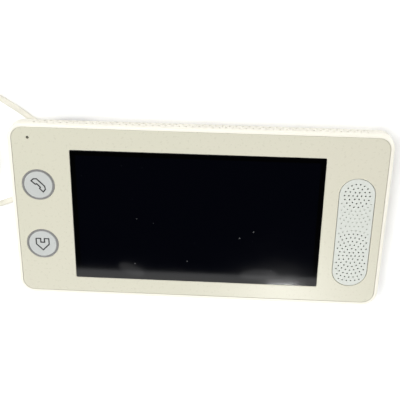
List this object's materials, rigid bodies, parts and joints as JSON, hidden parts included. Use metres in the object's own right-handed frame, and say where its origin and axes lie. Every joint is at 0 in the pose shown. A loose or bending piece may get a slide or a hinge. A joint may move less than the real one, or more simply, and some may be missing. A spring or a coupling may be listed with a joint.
{
  "type": "hands-free wall monitor",
  "caption": "Slim white hands-free wall monitor with a wide black display, a perforated speaker grille, push buttons, vented edges and a thin lead.",
  "frame": {"origin": "centre of the bottom of the unit as it lies on its back, without the lead", "axes": "+X to the right side of the unit as it hangs on a wall, +Y to its upper side, +Z out of the display"},
  "size_m": [0.2999, 0.1418, 0.0202],
  "materials": {
    "white_shell": "satin",
    "ivory_panel": "gloss",
    "rear_shell": "satin",
    "screen_window": "gloss",
    "grille_plate": "satin",
    "button_ring": "satin",
    "button_cap": "satin",
    "icon_print": "matt",
    "switch_black": "matt",
    "circuit_board": "satin",
    "steel_screws": "satin",
    "foam_black": "matt",
    "pressed_steel": "satin",
    "light_guide": "satin",
    "lcd_panel": "gloss",
    "speaker_steel": "satin",
    "paper_cone": "matt",
    "brass_disc": "satin",
    "bare_metal": "satin",
    "socket_plastic": "satin",
    "terminal_green": "satin",
    "ribbon_film": "satin",
    "wire_insulation": "satin",
    "lead_jacket": "satin",
    "tie_band": "matt",
    "plug_black": "satin"
  },
  "bodies": {
    "monitor": {"front_housing": "white_shell", "front_panel": "ivory_panel", "display_window": "screen_window", "window_adhesive": "foam_black", "speaker_grille": "grille_plate", "talk_ring": "button_ring", "unlock_ring": "button_ring", "talk_switch": "switch_black", "unlock_switch": "switch_black", "key_board": "circuit_board", "key_board_screws": "steel_screws", "lcd_gasket": "foam_black", "lcd_frame": "pressed_steel", "lcd_backlight": "light_guide", "lcd_glass": "lcd_panel", "speaker_basket": "speaker_steel", "speaker_cone": "paper_cone", "speaker_magnet": "speaker_steel", "grille_felts": "paper_cone", "ringer_case": "switch_black", "ringer_disc": "brass_disc", "mic_boot": "foam_black", "mic_capsule": "switch_black", "main_board": "circuit_board", "processor_shield": "pressed_steel", "board_chips": "switch_black", "board_capacitors": "bare_metal", "board_sockets": "socket_plastic", "board_screws": "steel_screws", "terminal_block": "terminal_green", "display_ribbon": "ribbon_film", "inner_wires": "wire_insulation", "rear_cover": "rear_shell", "cover_screws": "steel_screws", "wall_bracket": "pressed_steel", "lead_grommet": "lead_jacket", "lead_exit": "lead_jacket", "lead_coil": "lead_jacket", "coil_tie": "tie_band", "lead_return": "lead_jacket", "lead_plug": "plug_black", "plug_contacts": "bare_metal"},
    "talk_button": {"talk_cap": "button_cap", "talk_icon": "icon_print"},
    "unlock_button": {"unlock_cap": "button_cap", "unlock_icon": "icon_print"},
    "talk_key": {"talk_plunger": "switch_black"},
    "unlock_key": {"unlock_plunger": "switch_black"}
  },
  "joints": [
    {"name": "talk_press", "type": "slide", "parent": "monitor", "child": "talk_button", "axis": [0, 0, -1], "range_m": [0, 0.0006], "stiffness_N_per_m": 1500},
    {"name": "unlock_press", "type": "slide", "parent": "monitor", "child": "unlock_button", "axis": [0, 0, -1], "range_m": [0, 0.0006], "stiffness_N_per_m": 1500},
    {"name": "talk_key_press", "type": "slide", "parent": "monitor", "child": "talk_key", "axis": [0, 0, -1], "range_m": [0, 0.0006]},
    {"name": "unlock_key_press", "type": "slide", "parent": "monitor", "child": "unlock_key", "axis": [0, 0, -1], "range_m": [0, 0.0006]}
  ],
  "couplings": [
    {"joint": "talk_key_press", "follows": "talk_press", "ratio": 1},
    {"joint": "unlock_key_press", "follows": "unlock_press", "ratio": 1}
  ]
}
